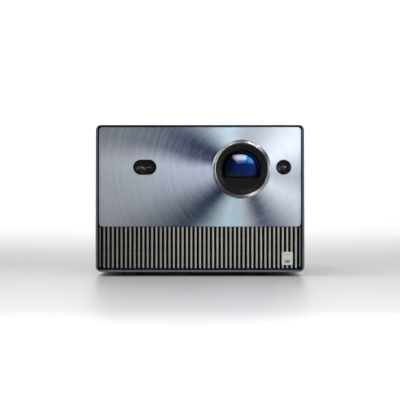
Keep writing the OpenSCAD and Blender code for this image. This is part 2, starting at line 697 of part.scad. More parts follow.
module audio_sockets() {
  color("#1b1c1f") {
    difference() {
      union() {
        bx(-48, -40, ybay - 14, ybay - 2.2, port_z, port_z + 6.8);
        yc(-44, port_z + 3.4, ybay - 3, ybay, 2.5);
      }
      yc(-44, port_z + 3.4, ybay - 12, ybay + 1, 1.85);
    }
    difference() {
      bx(-31.8, -22.2, ybay - 13, ybay - 2.2, port_z, port_z + 9.6);
      bx(-30, -24, ybay - 9, ybay - 2, port_z + 1.8, port_z + 7.8);
    }
  }
}

module dc_inlet() {
  color("#1b1c1f") {
    difference() {
      union() {
        bx(-70, -58, ybay - 15, ybay - 2.2, port_z, port_z + 11);
        yc(-64, port_z + 5.5, ybay - 3, ybay, 3.3);
      }
      yc(-64, port_z + 5.5, ybay - 11, ybay + 1, 2.8);
    }
    yc(-64, port_z + 5.5, ybay - 11.5, ybay - 1.5, 1);
  }
}

module power_button() {
  color("#c2c6ca") {
    yc(button_x, button_z, yk0 - 0.4, yk1 + 1.2, 6.4);
    yc(button_x, button_z, yk0 - 2, yk0 - 0.1, 8);
    yc(button_x, button_z, yk0 - 5, yk0 - 2, 2);
  }
}

module power_switch_board() {
  color("#1d5a3a") {
    bx(button_x - 20, button_x + 12, yk0 - 11.5, yk0 - 10, button_z - 8, button_z + 8);
    bx(button_x - 3, button_x + 3, yk0 - 10, yk0 - 6.3, button_z - 3, button_z + 3);
    yc(button_x - 14, button_z, yk0 - 10, yk1 + 0.2, 1.25);
    for (s = [-1, 1]) yc(button_x - 5, button_z + s * 5.6 + s * 4, yk0 - 11.5, yk0, 1.8);
  }
}

// ---------------------------------------------------------------- sound

module speaker_enclosures() {
  color("#232427") for (s = [-1, 1]) let (x0 = s > 0 ? 36 : -116, x1 = s > 0 ? 116 : -36) difference() {
    bx(x0, x1, ys + 2, ys + 43, zi0, zb + 52.4);
    bx(x0 + 2, x1 - 2, ys + 4, ys + 41, zb + 6.6, zb + 50.4);
    yc(s * driver_x, driver_z, ys + 1, ys + 5, 22.2);
  }
}

module speaker_frames() {
  color("#2f3034") for (s = [-1, 1]) {
    difference() {
      bx(s * driver_x - 23, s * driver_x + 23, ys, ys + 2, driver_z - 22.6, driver_z + 22.6);
      yc(s * driver_x, driver_z, ys - 1, ys + 3, 21);
      for (a = [-1, 1], b = [-1, 1]) yc(s * driver_x + a * 19.6, driver_z + b * 19.2, ys - 1, ys + 3, 1.6);
    }
    rev(s * driver_x, driver_z) polygon([[20, ys], [21.2, ys], [21.2, ys + 2], [14, ys + 14.8], [15.5, ys + 16.3],
      [15.5, ys + 25.8], [0, ys + 25.8], [0, ys + 12], [4.8, ys + 12], [4.8, ys + 19.8], [7.2, ys + 19.8], [7.2, ys + 14.3], [12, ys + 14.3], [20, ys + 1.6]]);
  }
}

module speaker_surrounds() {
  color("#101012") for (s = [-1, 1]) rev(s * driver_x, driver_z)
    polygon([[17.05, ys + 1.9], [17.4, ys + 2.8], [18.4, ys + 3.2], [19.2, ys + 2.4], [19.6, ys + 0.8], [20, ys + 0.6], [20, ys + 0.1],
             [19.2, ys + 0.3], [18.8, ys + 2], [18.4, ys + 2.4], [17.9, ys + 2.2], [17.6, ys + 1.6]]);
}

module cone_at(x) {
  yo = ys + 0.5;                  // clear of the cloth at full travel
  rev(x, driver_z) polygon([[16.8, yo + 1.4], [6.6, yo + 8.6], [5, yo + 7.4], [3, yo + 6.6], [0, yo + 6.2],
    [0, yo + 7.2], [3, yo + 7.6], [5.4, yo + 9.1], [5.4, yo + 17.2], [6.2, yo + 17.2], [6.2, yo + 9.9], [16.8, yo + 2.4]]);
}
module left_speaker_cone() { color("#19191b") cone_at(-driver_x); }
module right_speaker_cone() { color("#19191b") cone_at(driver_x); }

// ---------------------------------------------------------------- frame inside

module chassis_frame() {
  color("#9a9ea3") difference() {
    union() {
      bx(-110, 110, -58, 54, zb + 54, zb + 55.2);
      for (x = [-110, 104], y = [-58, 46]) bx(x, x + 6, y, y + 8, zi0, zb + 54.5);
      for (x = [12, 88], y = [-20, 44]) translate([x, y, zb + 55]) cylinder(r = 4, h = lz - 35 - zb - 55);
      for (y = [-1, 25]) translate([-86, y, zb + 55]) cylinder(r = 4, h = lz - 21 - zb - 55);
    }
    for (x = [-70, 0, 50], y = [-36, 12]) bx(x - 14, x + 14, y - 10, y + 10, zb + 53, zb + 56);
    for (x = [-80:20:80]) translate([x, 44, zb + 53]) cylinder(r = 2, h = 4);
  }
}

// ---------------------------------------------------------------- assembly

housing_sleeve();
front_panel();
front_carrier();
speaker_grille();
grille_cloth();
grille_badge();
lens_trim_ring();
lens_bezel();
lens_mask();
lens_seal_ring();
front_lens_element();
middle_lens_element();
rear_lens_element();
focus_carriage();
lens_barrel();
focus_ring();
focus_pinion();
focus_motor();
engine_housing();
laser_modules();
diffuser_motor();
diffuser_wheel();
prism_block();
shifter_frame();
shifter_gimbal();
shifter_glass();
imaging_chip();
imaging_board();
chip_heat_sink();
chip_ribbon_cable();
laser_heat_sink();
heat_pipes();
intake_fan_frame();
intake_fan_rotor();
exhaust_fan_frame();
exhaust_fan_rotor();
main_board();
power_board();
hdmi_sockets();
usb_sockets();
audio_sockets();
dc_inlet();
speaker_enclosures();
speaker_frames();
speaker_surrounds();
left_speaker_cone();
right_speaker_cone();
chassis_frame();
rear_cover();
side_vent_grilles();
m3_screws();
power_button();
power_switch_board();
sensor_bezels();
sensor_lenses();
rubber_feet();
tilt_foot();
tilt_foot_pin();
tilt_foot_pad();
tripod_insert();
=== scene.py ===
import json
import math
import bpy
import bmesh
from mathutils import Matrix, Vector


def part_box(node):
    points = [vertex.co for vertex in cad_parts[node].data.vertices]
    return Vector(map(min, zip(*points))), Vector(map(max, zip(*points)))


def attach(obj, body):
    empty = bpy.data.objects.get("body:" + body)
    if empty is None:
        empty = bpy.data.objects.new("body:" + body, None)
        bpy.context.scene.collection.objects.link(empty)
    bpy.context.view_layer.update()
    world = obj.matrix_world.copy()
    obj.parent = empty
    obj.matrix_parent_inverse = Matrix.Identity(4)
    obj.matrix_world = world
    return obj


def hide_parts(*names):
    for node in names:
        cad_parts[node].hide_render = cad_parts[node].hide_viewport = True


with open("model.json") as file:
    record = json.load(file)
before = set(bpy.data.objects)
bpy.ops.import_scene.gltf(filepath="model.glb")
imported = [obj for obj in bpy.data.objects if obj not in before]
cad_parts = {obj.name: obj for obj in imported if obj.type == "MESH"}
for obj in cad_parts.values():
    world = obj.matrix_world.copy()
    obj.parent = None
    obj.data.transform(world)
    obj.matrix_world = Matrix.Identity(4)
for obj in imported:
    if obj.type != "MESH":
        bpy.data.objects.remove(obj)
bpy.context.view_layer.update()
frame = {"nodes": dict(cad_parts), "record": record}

nodes = frame["nodes"]
scene = bpy.context.scene


def mid(node):
    lo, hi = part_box(node)
    return (lo + hi) / 2


ring_lo, ring_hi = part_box("lens_trim_ring")
LX, LZ = mid("lens_trim_ring").x, mid("lens_trim_ring").z
RING_R = (ring_hi.x - ring_lo.x) / 2
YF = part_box("housing_sleeve")[0].y
MM = 0.001

# ------------------------------------------------------------------ materials


class Mat:
    def __init__(self, name):
        self.m = bpy.data.materials.new(name)
        self.m.use_nodes = True
        self.t = self.m.node_tree
        self.p = self.t.nodes["Principled BSDF"]
        self.co = self.t.nodes.new("ShaderNodeTexCoord").outputs["Object"]

    def n(self, kind, **props):
        node = self.t.nodes.new(kind)
        for k, v in props.items():
            setattr(node, k, v)
        return node

    def link(self, a, b):
        self.t.links.new(a, b)

    def math(self, op, a, b=None, c=None, clamp=False):
        node = self.n("ShaderNodeMath", operation=op, use_clamp=clamp)
        for i, v in enumerate((a, b, c)):
            if v is None:
                continue
            if isinstance(v, (int, float)):
                node.inputs[i].default_value = v
            else:
                self.link(v, node.inputs[i])
        return node.outputs[0]

    def xyz(self):
        s = self.n("ShaderNodeSeparateXYZ")
        self.link(self.co, s.inputs[0])
        return s.outputs

    def vec(self, x, y, z):
        c = self.n("ShaderNodeCombineXYZ")
        for i, v in enumerate((x, y, z)):
            if isinstance(v, (int, float)):
                c.inputs[i].default_value = v
            else:
                self.link(v, c.inputs[i])
        return c.outputs[0]

    def noise(self, scale, detail=3.0, vector=None, rough=0.5):
        node = self.n("ShaderNodeTexNoise")
        node.inputs["Scale"].default_value = scale
        node.inputs["Detail"].default_value = detail
        node.inputs["Roughness"].default_value = rough
        self.link(vector if vector is not None else self.co, node.inputs["Vector"])
        return node.outputs[0]

    def rng(self, v, a, b, c, d, smooth=False):
        node = self.n("ShaderNodeMapRange")
        if smooth:
            node.interpolation_type = "SMOOTHSTEP"
        self.link(v, node.inputs[0])
        for i, x in enumerate((a, b, c, d)):
            node.inputs[i + 1].default_value = x
        return node.outputs[0]

    def mix(self, f, a, b, blend="MIX"):
        node = self.n("ShaderNodeMix", data_type="RGBA", blend_type=blend)
        ins = [s for s in node.inputs if s.enabled]
        for s, v in zip(ins, (f, a, b)):
            if isinstance(v, (int, float)):
                s.default_value = v
            elif isinstance(v, (tuple, list)):
                s.default_value = (*v[:3], 1)
            else:
                self.link(v, s)
        return [o for o in node.outputs if o.enabled][0]

    def bump(self, h, strength, dist):
        node = self.n("ShaderNodeBump")
        node.inputs["Strength"].default_value = strength
        node.inputs["Distance"].default_value = dist
        self.link(h, node.inputs["Height"])
        self.link(node.outputs[0], self.p.inputs["Normal"])

    def set(self, **kw):
        for k, v in kw.items():
            self.p.inputs[k.replace("_", " ")].default_value = v
        return self


def coat(name, base, rough, metallic=0.0, var=0.10, grain=900, bump=0.12, rvar=0.06, **kw):
    """A moulded, cast, coated or rubber surface: mottled colour, grained gloss and a fine relief."""
    m = Mat(name)
    big = m.noise(22, 2)
    fine = m.noise(grain, 4)
    lo = tuple(c * (1 - var) for c in base)
    hi = tuple(min(1, c * (1 + var)) for c in base)
    m.link(m.mix(m.math("ADD", m.math("MULTIPLY", big, 0.6), m.math("MULTIPLY", fine, 0.4)), lo, hi), m.p.inputs["Base Color"])
    m.link(m.rng(fine, 0.3, 0.7, rough - rvar, rough + rvar), m.p.inputs["Roughness"])
    m.bump(fine, bump, 0.0001)
    m.set(Metallic=metallic, **kw)
    return m.m


def brushed(name, base, rough, along="z", metallic=1.0):
    """Metal with straight grinding marks along one axis."""
    m = Mat(name)
    x, y, z = m.xyz()
    s = {"x": (6, 900, 900), "y": (900, 6, 900), "z": (900, 900, 6)}[along]
    v = m.vec(m.math("MULTIPLY", x, s[0]), m.math("MULTIPLY", y, s[1]), m.math("MULTIPLY", z, s[2]))
    g = m.noise(2.0, 4, v)
    m.link(m.mix(g, tuple(c * 0.82 for c in base), tuple(min(1, c * 1.1) for c in base)), m.p.inputs["Base Color"])
    m.link(m.rng(g, 0.3, 0.7, rough - 0.07, rough + 0.08), m.p.inputs["Roughness"])
    m.bump(g, 0.08, 0.00005)
    m.set(Metallic=metallic)
    return m.m


def spun_face():
    """Aluminium turned on a lathe round the lens axis, with the studio lamps' sheen painted into its colour in sectors
    round the lens.
    """
    m = Mat("spun_face")
    x, y, z = m.xyz()
    dx, dz = m.math("SUBTRACT", x, LX), m.math("SUBTRACT", z, LZ)
    r = m.math("SQRT", m.math("ADD", m.math("MULTIPLY", dx, dx), m.math("MULTIPLY", dz, dz)))
    inv = m.math("DIVIDE", 1.0, m.math("MAXIMUM", r, 0.001))
    cx, cz = m.math("MULTIPLY", dx, inv), m.math("MULTIPLY", dz, inv)

    def arcs(per_m, spread, off):
        return m.noise(1.0, 4, m.vec(m.math("MULTIPLY", cx, spread), m.math("ADD", m.math("MULTIPLY", cz, spread), off), m.math("MULTIPLY", r, per_m)), 0.65)

    fine, wide, streak = arcs(2600, 2.2, 0.0), arcs(520, 1.4, 5.0), arcs(900, 7.0, 9.0)
    wobble = m.math("MULTIPLY", m.math("SUBTRACT", m.noise(1.0, 2, m.vec(m.math("MULTIPLY", r, 14), cx, cz)), 0.5), 0.03)
    turn = m.math("ADD", m.rng(m.math("ARCTAN2", dz, dx), -math.pi, math.pi, 0, 1), wobble)
    ramp = m.n("ShaderNodeValToRGB")
    ramp.color_ramp.interpolation = "EASE"
    # painted sheen: level of the painted reflection in each sector: (degrees anticlockwise from the right, level)
    painted_sheen_stops = [(-180, .42), (-168, .43), (-136, .06), (-106, .76), (-94, .68), (-68, .12), (-30, .84), (-6, .52), (28, .74),
             (50, .78), (84, .68), (108, .79), (154, .04), (164, .07), (180, .42)]
    el = ramp.color_ramp.elements
    for i, (deg, v) in enumerate(painted_sheen_stops):
        e = el[i] if i < 2 else el.new((deg + 180) / 360)
        e.position = (deg + 180) / 360
        e.color = (v, v, v, 1)
    m.link(turn, ramp.inputs[0])
    # the painted sheen sectors are crisp at the lens and soften outwards
    soft = m.rng(r, 0.035, 0.17, 1.12, 0.80)
    painted_sheen_level = m.math("ADD", m.math("MULTIPLY", m.math("SUBTRACT", ramp.outputs[0], 0.52), soft), 0.52)
    painted_sheen_level = m.math("ADD", painted_sheen_level, m.math("MULTIPLY", m.math("SUBTRACT", wide, 0.5), 0.16))
    painted_sheen_level = m.math("ADD", painted_sheen_level, m.math("MULTIPLY", m.math("SUBTRACT", streak, 0.5), 0.14))
    painted_sheen_level = m.math("ADD", painted_sheen_level, m.math("MULTIPLY", m.math("SUBTRACT", fine, 0.5), 0.20), clamp=True)
    # painted reflection: the dark and bright ends of the painted sheen change from left to right, the bright end dimmer
    # and the dark end bluer on the right
    painted_low_reflection = m.mix(m.rng(x, -0.12, 0.12, 0, 1), (0.020, 0.032, 0.044), (0.032, 0.038, 0.095))
    painted_high_reflection = m.mix(m.rng(x, -0.12, 0.12, 0, 1), (0.88, 0.94, 1.0), (0.79, 0.86, 0.96))
    col = m.mix(painted_sheen_level, painted_low_reflection, painted_high_reflection)
    # painted reflection tints: lavender by the left of the lens, colder above and below it
    painted_lilac_reflection = m.math("MULTIPLY", m.rng(cx, -0.5, -1.0, 0, 1, True), m.rng(r, 0.16, 0.04, 0, 1, True))
    col = m.mix(m.math("MULTIPLY", painted_lilac_reflection, 0.8), col, (0.86, 0.88, 1.0), "MULTIPLY")
    painted_teal_reflection = m.math("MULTIPLY", m.rng(m.math("ABSOLUTE", cz), 0.40, 0.80, 0, 1, True), m.rng(cx, 0.25, -0.20, 0, 1, True))
    col = m.mix(painted_teal_reflection, col, (0.84, 1.0, 1.0), "MULTIPLY")
    m.link(col, m.p.inputs["Base Color"])
    m.link(m.rng(fine, 0.3, 0.7, 0.27, 0.40), m.p.inputs["Roughness"])
    tan = m.n("ShaderNodeVectorMath", operation="NORMALIZE")
    m.link(m.vec(dz, 0.0, m.math("MULTIPLY", dx, -1.0)), tan.inputs[0])
    m.link(tan.outputs[0], m.p.inputs["Tangent"])
    m.bump(fine, 0.10, 0.00004)
    m.set(Metallic=0.80, Anisotropic=0.78)
    return m.m


def bars_metal():
    """Satin coat on the bars' fronts, darkened towards the left and on the outermost bars as painted shade; near-black
    on their flanks and the rails behind, a painted shade between the bars.
    """
    m = Mat("grille_metal")
    x, y, z = m.xyz()
    lo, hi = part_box("speaker_grille")
    # painted shade: behind the first 1.15 to 1.65 mm of the bars' depth the colour goes near-black
    unshaded_bar_front = m.rng(y, lo.y + 1.15 * MM, lo.y + 1.65 * MM, 1.0, 0.0)
    # painted shade: the outermost bars, next to the frame lip, are painted darker
    painted_edge_shade = m.rng(m.math("ABSOLUTE", x), 0.1180, 0.1190, 1.0, 0.45)
    g = m.noise(2.0, 4, m.vec(m.math("MULTIPLY", x, 1200), m.math("MULTIPLY", y, 1200), m.math("MULTIPLY", z, 12)))
    warm = m.mix(g, (0.28, 0.276, 0.252), (0.46, 0.455, 0.425))
    # painted shade: the bars' colour darkens towards the left
    warm = m.mix(m.rng(x, -0.120, 0.0, 1.0, 0.0), warm, (0.52, 0.52, 0.52), "MULTIPLY")
    face = m.mix(painted_edge_shade, (0.02, 0.02, 0.02), warm)
    m.link(m.mix(unshaded_bar_front, (0.0015, 0.0015, 0.0015), face), m.p.inputs["Base Color"])
    m.link(m.rng(g, 0.3, 0.7, 0.30, 0.42), m.p.inputs["Roughness"])
    m.bump(g, 0.08, 0.00004)
    m.set(Metallic=0.7)
    return m.m


def cloth():
    """Open acoustic weave."""
    m = Mat("black_cloth")
    x, y, z = m.xyz()
    k = 2 * math.pi / 0.0007
    w = m.math("MULTIPLY", m.math("SINE", m.math("MULTIPLY", x, k)), m.math("SINE", m.math("MULTIPLY", z, k)))
    w = m.rng(w, -1, 1, 0, 1)
    m.link(m.mix(w, (0.002, 0.002, 0.002), (0.012, 0.012, 0.012)), m.p.inputs["Base Color"])
    m.link(m.rng(w, 0, 1, 0.95, 0.8), m.p.inputs["Roughness"])
    m.bump(w, 0.4, 0.0002)
    m.set(Sheen_Weight=0.02, Specular_IOR_Level=0.08)
    return m.m


def shell():
    """Satin slate coat, painted near-black inside the shell and on the lip's inner edge: a painted shade for the gap
    round the face.
    """
    m = Mat("slate_shell")
    x, y, z = m.xyz()
    lo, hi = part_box("housing_sleeve")
    big, fine = m.noise(22, 2), m.noise(1500, 4)
    t = m.math("ADD", m.math("MULTIPLY", big, 0.6), m.math("MULTIPLY", fine, 0.4))
    skin = m.mix(t, (0.082, 0.108, 0.140), (0.108, 0.140, 0.178))
    # painted shade: the inside of the shell is painted near-black
    inx = m.math("LESS_THAN", m.math("ABSOLUTE", x), hi.x - 2.5 * MM)
    inz = m.math("MULTIPLY", m.math("LESS_THAN", z, hi.z - 1.7 * MM), m.math("GREATER_THAN", z, lo.z + 2.8 * MM))
    iny = m.math("MULTIPLY", m.math("GREATER_THAN", y, lo.y + 1.4 * MM), m.math("LESS_THAN", y, hi.y - 1.4 * MM))
    painted_gap_shade = m.math("MULTIPLY", m.math("MULTIPLY", inx, inz), iny)
    # painted shade: the lip's inner edge, next to the gap round the face, is painted black too
    lipx = m.math("LESS_THAN", m.math("ABSOLUTE", x), hi.x - 2.2 * MM)
    lipz = m.math("MULTIPLY", m.math("LESS_THAN", z, hi.z - 1.25 * MM), m.math("GREATER_THAN", z, lo.z + 2.2 * MM))
    lipy = m.math("LESS_THAN", y, lo.y + 2.0 * MM)
    painted_gap_shade = m.math("MAXIMUM", painted_gap_shade, m.math("MULTIPLY", m.math("MULTIPLY", lipx, lipz), lipy))
    m.link(m.mix(painted_gap_shade, skin, (0.004, 0.004, 0.005)), m.p.inputs["Base Color"])
    m.link(m.rng(fine, 0.3, 0.7, 0.30, 0.40), m.p.inputs["Roughness"])
    m.bump(fine, 0.10, 0.0001)
    m.set(Metallic=0.5)
    return m.m


def badge():
    """Blank satin plate with a plain bar and a plain block."""
    m = Mat("badge")
    x, y, z = m.xyz()
    c = mid("grille_badge")

    def block(cx, cz, w, h):
        a = m.math("LESS_THAN", m.math("ABSOLUTE", m.math("SUBTRACT", x, c.x + cx * MM)), w / 2 * MM)
        b = m.math("LESS_THAN", m.math("ABSOLUTE", m.math("SUBTRACT", z, c.z + cz * MM)), h / 2 * MM)
        return m.math("MULTIPLY", a, b)

    fine = m.noise(1300, 3)
    plate = m.mix(fine, (0.46, 0.46, 0.43), (0.54, 0.54, 0.51))
    plate = m.mix(m.math("MULTIPLY", block(0, 4.6, 9.0, 0.7), 0.6), plate, (0.22, 0.22, 0.21))
    plate = m.mix(m.math("MULTIPLY", block(0, -3.6, 6.4, 3.4), 0.8), plate, (0.10, 0.10, 0.10))
    m.link(plate, m.p.inputs["Base Color"])
    m.link(m.rng(fine, 0.3, 0.7, 0.34, 0.42), m.p.inputs["Roughness"])
    m.bump(fine, 0.08, 0.00005)
    m.set(Metallic=0.2)
    return m.m


def trim():
    """Turned and polished rim with painted reflections: its colour is darkened by angle where the studio is dark and
    lightened where lamps reflect.
    """
    m = Mat("trim_metal")
    x, y, z = m.xyz()
    ang = m.math("ARCTAN2", m.math("SUBTRACT", z, LZ), m.math("SUBTRACT", x, LX))
    ramp = m.n("ShaderNodeValToRGB")
    ramp.color_ramp.interpolation = "EASE"
    # painted reflection: level of the rim's colour in each sector: (degrees anticlockwise from the right, level)
    painted_sheen_stops = [(-180, .50), (-150, .12), (-120, .02), (-92, .04), (-60, .60), (-30, .42), (0, .40), (30, .03), (60, 1.0), (90, .12), (122, .50), (150, 1.0), (180, .50)]
    el = ramp.color_ramp.elements
    for i, (deg, v) in enumerate(painted_sheen_stops):
        e = el[i] if i < 2 else el.new((deg + 180) / 360)
        e.position = (deg + 180) / 360
        e.color = (v, v, v, 1)
    m.link(m.rng(ang, -math.pi, math.pi, 0, 1), ramp.inputs[0])
    fine = m.noise(90, 3)
    m.link(m.mix(ramp.outputs[0], (0.030, 0.032, 0.038), (0.92, 0.92, 0.93)), m.p.inputs["Base Color"])
    m.link(m.rng(fine, 0.3, 0.7, 0.10, 0.16), m.p.inputs["Roughness"])
    m.bump(fine, 0.01, 0.00002)
    m.set(Metallic=1.0)
    return m.m


def inner_element_painted_reflections():
    """Inner element: a dark coating with its coloured reflections painted in: green low on the left, blue on the right,
    navy core, fine edge rings, a pale painted highlight at the crown, painted shade below the axis and at the rim.
    """
    m = Mat("inner_coating_painted_reflections")
    x, y, z = m.xyz()
    dx, dz = m.math("SUBTRACT", x, LX), m.math("SUBTRACT", z, LZ)
    r = m.math("SQRT", m.math("ADD", m.math("MULTIPLY", dx, dx), m.math("MULTIPLY", dz, dz)))
    ang = m.math("ARCTAN2", dz, dx)
    # painted reflection: bluer on the right, nearly black on the left
    painted_side_tint = m.rng(m.math("ADD", dx, m.math("MULTIPLY", dz, 0.4)), -0.006, 0.012, 0, 1, True)
    col = m.mix(painted_side_tint, (0.001, 0.003, 0.030), (0.022, 0.090, 0.380))
    # painted reflection: a navy core at the middle, with fine painted rings round it like the edges of the lenses
    # behind
    painted_core = m.rng(r, 0.0070, 0.0115, 1, 0, True)
    col = m.mix(m.math("MULTIPLY", painted_core, 0.92), col, (0.004, 0.045, 0.330))
    for at, wide, gain in ((0.0116, 0.0009, 0.40), (0.0084, 0.0008, 0.22), (0.0050, 0.0008, 0.14), (0.0172, 0.0008, 0.16)):
        band = m.rng(m.math("ABSOLUTE", m.math("SUBTRACT", r, at)), 0.0, wide, gain, 0, True)
        col = m.mix(band, col, (0.10, 0.16, 0.45))
    # painted highlight: the crown of the curve is painted palest where the key lamp reflects, bluer to its right
    crown_highlight_sector = m.rng(m.math("ABSOLUTE", m.math("SUBTRACT", ang, 1.57)), 0.25, 0.75, 1, 0, True)
    highlight_band = m.math("MULTIPLY", m.rng(r, 0.0085, 0.0125, 0, 1, True), m.rng(r, 0.0235, 0.0195, 0, 1, True))
    col = m.mix(m.math("MULTIPLY", crown_highlight_sector, highlight_band), col, (0.090, 0.080, 0.084))
    blue_highlight_sector = m.rng(m.math("ABSOLUTE", m.math("SUBTRACT", ang, 0.95)), 0.15, 0.55, 1, 0, True)
    col = m.mix(m.math("MULTIPLY", m.math("MULTIPLY", blue_highlight_sector, highlight_band), 0.85), col, (0.040, 0.150, 0.340))
    # painted shade: below the axis it is darkened to nearly black, but for a painted green reflection low on the left
    painted_lower_shade = m.rng(dz, 0.000, -0.008, 0, 1, True)
    col = m.mix(m.math("MULTIPLY", painted_lower_shade, 0.90), col, (0.002, 0.004, 0.008))
    painted_low_reflection = m.math("MULTIPLY", m.rng(m.math("ADD", dz, m.math("MULTIPLY", dx, 0.35)), -0.003, -0.012, 0, 1, True), m.rng(dx, 0.002, -0.008, 0, 1, True))
    col = m.mix(m.math("MULTIPLY", painted_low_reflection, 0.9), col, (0.003, 0.028, 0.012))
    # painted shade: darkened towards the rim of the element
    painted_edge_shade = m.rng(r, 0.0205, 0.0232, 0, 1, True)
    col = m.mix(painted_edge_shade, col, (0.002, 0.002, 0.006))
    m.link(col, m.p.inputs["Base Color"])
    m.link(m.rng(m.noise(400, 2), 0.3, 0.7, 0.10, 0.14), m.p.inputs["Roughness"])
    m.set(Metallic=1.0)
    return m.m


def polished(name, base, rough):
    m = Mat(name)
    fine = m.noise(60, 3)
    m.link(m.mix(fine, tuple(c * 0.94 for c in base), base), m.p.inputs["Base Color"])
    m.link(m.rng(fine, 0.3, 0.7, rough * 0.8, rough * 1.3), m.p.inputs["Roughness"])
    m.bump(fine, 0.01, 0.00002)
    m.set(Metallic=1.0)
    return m.m


def optic(name, tint, film, rough=0.0, trans=1.0, ior=1.52):
    """Coated glass: a thin film gives the coloured reflection."""
    m = Mat(name)
    dust = m.noise(500, 3)
    m.link(m.mix(dust, tuple(c * 0.97 for c in tint), tint), m.p.inputs["Base Color"])
    m.link(m.rng(dust, 0.3, 0.7, rough, rough + 0.012), m.p.inputs["Roughness"])
    m.set(Transmission_Weight=trans, IOR=ior, Thin_Film_Thickness=film, Thin_Film_IOR=1.38)
    return m.m


def board(name, base, trace):
    """Lacquered circuit board with copper tracks under the lacquer."""
    m = Mat(name)
    v = m.n("ShaderNodeTexVoronoi", feature="DISTANCE_TO_EDGE", distance="MANHATTAN")
    v.inputs["Scale"].default_value = 140
    m.link(m.co, v.inputs["Vector"])
    line = m.rng(v.outputs["Distance"], 0.03, 0.06, 1.0, 0.0)
    spot = m.noise(700, 3)
    m.link(m.mix(m.math("MULTIPLY", line, 0.8), m.mix(spot, tuple(c * 0.8 for c in base), tuple(c * 1.2 for c in base)), trace), m.p.inputs["Base Color"])
    m.link(m.rng(spot, 0.3, 0.7, 0.28, 0.42), m.p.inputs["Roughness"])
    m.bump(line, 0.25, 0.0001)
    m.set(Coat_Weight=0.3)
    return m.m


M = {
    "slate_shell": shell(),
    "spun_face": spun_face(),
    "grille_metal": bars_metal(),
    "trim_metal": trim(),
    "black_satin": coat("black_satin", (0.004, 0.004, 0.0045), 0.30, 0.0, 0.12, 1300, 0.05, 0.05, Specular_IOR_Level=0.30),
    "black_gloss": coat("black_gloss", (0.003, 0.003, 0.0035), 0.22, 0.0, 0.2, 300, 0.01, 0.02, Specular_IOR_Level=0.16),
    "black_cloth": cloth(),
    "badge": badge(),
    "lens_glass": optic("lens_glass", (0.82, 0.86, 0.98), 0.0),
    "sensor_glass": coat("sensor_glass", (0.006, 0.008, 0.014), 0.10, 0.0, 0.3, 600, 0.0, 0.01, Specular_IOR_Level=0.55),
    "cover_plastic": coat("cover_plastic", (0.045, 0.055, 0.068), 0.52, 0.0, 0.12, 1800, 0.35),
    "dark_plastic": coat("dark_plastic", (0.016, 0.016, 0.018), 0.50, 0.0, 0.15, 1600, 0.30),
    "carrier_black": coat("carrier_black", (0.003, 0.003, 0.003), 0.75, 0.0, 0.15, 1600, 0.30, Specular_IOR_Level=0.08),
    "anodised_dark": coat("anodised_dark", (0.020, 0.020, 0.022), 0.38, 0.6, 0.12, 1500, 0.10),
    "cast_alloy": coat("cast_alloy", (0.33, 0.34, 0.36), 0.48, 0.8, 0.18, 500, 0.45),
    "fin_aluminium": brushed("fin_aluminium", (0.68, 0.69, 0.71), 0.34, "x"),
    "copper": brushed("copper", (0.72, 0.34, 0.20), 0.26, "z"),
    "brass": brushed("brass", (0.70, 0.55, 0.28), 0.28, "y"),
    "steel": brushed("steel", (0.56, 0.57, 0.58), 0.24, "x"),
    "black_steel": coat("black_steel", (0.030, 0.031, 0.034), 0.34, 0.8, 0.15, 900, 0.10),
    "zinc_steel": coat("zinc_steel", (0.48, 0.49, 0.50), 0.36, 0.9, 0.15, 350, 0.12),
    "board_green": board("board_green", (0.012, 0.085, 0.040), (0.05, 0.20, 0.09)),
    "board_tan": board("board_tan", (0.18, 0.11, 0.05), (0.30, 0.20, 0.09)),
    "socket_shell": brushed("socket_shell", (0.58, 0.59, 0.60), 0.28, "y"),
    "nylon": coat("nylon", (0.70, 0.68, 0.60), 0.45, 0.0, 0.06, 1200, 0.1),
    "ribbon_film": brushed("ribbon_film", (0.62, 0.63, 0.66), 0.45, "z", 0.0),
    "button_metal": brushed("button_metal", (0.10, 0.11, 0.13), 0.34, "x"),
    "rubber_black": coat("rubber_black", (0.014, 0.014, 0.015), 0.72, 0.0, 0.2, 1200, 0.4),
    "paper_cone": coat("paper_cone", (0.018, 0.018, 0.019), 0.85, 0.0, 0.25, 700, 0.7),
}
slot_of = {s["node"]: s["material_slot"] for s in frame["record"]["subparts"]}

# ------------------------------------------------------------------ CAD nodes: finish and softened edges

EDGE = {"housing_sleeve": 0.8, "front_panel": 0.35, "grille_badge": 0.25,
        "rubber_feet": 0.4, "tilt_foot": 0.4, "power_button": 0.5, "speaker_grille": 0.0,
        "lens_trim_ring": 0.15, "hdmi_sockets": 0.12, "usb_sockets": 0.12, "audio_sockets": 0.15, "dc_inlet": 0.15,
        "m3_screws": 0.12, "engine_housing": 0.8, "chassis_frame": 0.2, "intake_fan_frame": 0.4, "exhaust_fan_frame": 0.4,
        "intake_fan_rotor": 0.2, "exhaust_fan_rotor": 0.2, "tripod_insert": 0.2, "laser_modules": 0.3, "focus_motor": 0.3,
        "tilt_foot_pad": 0.2}


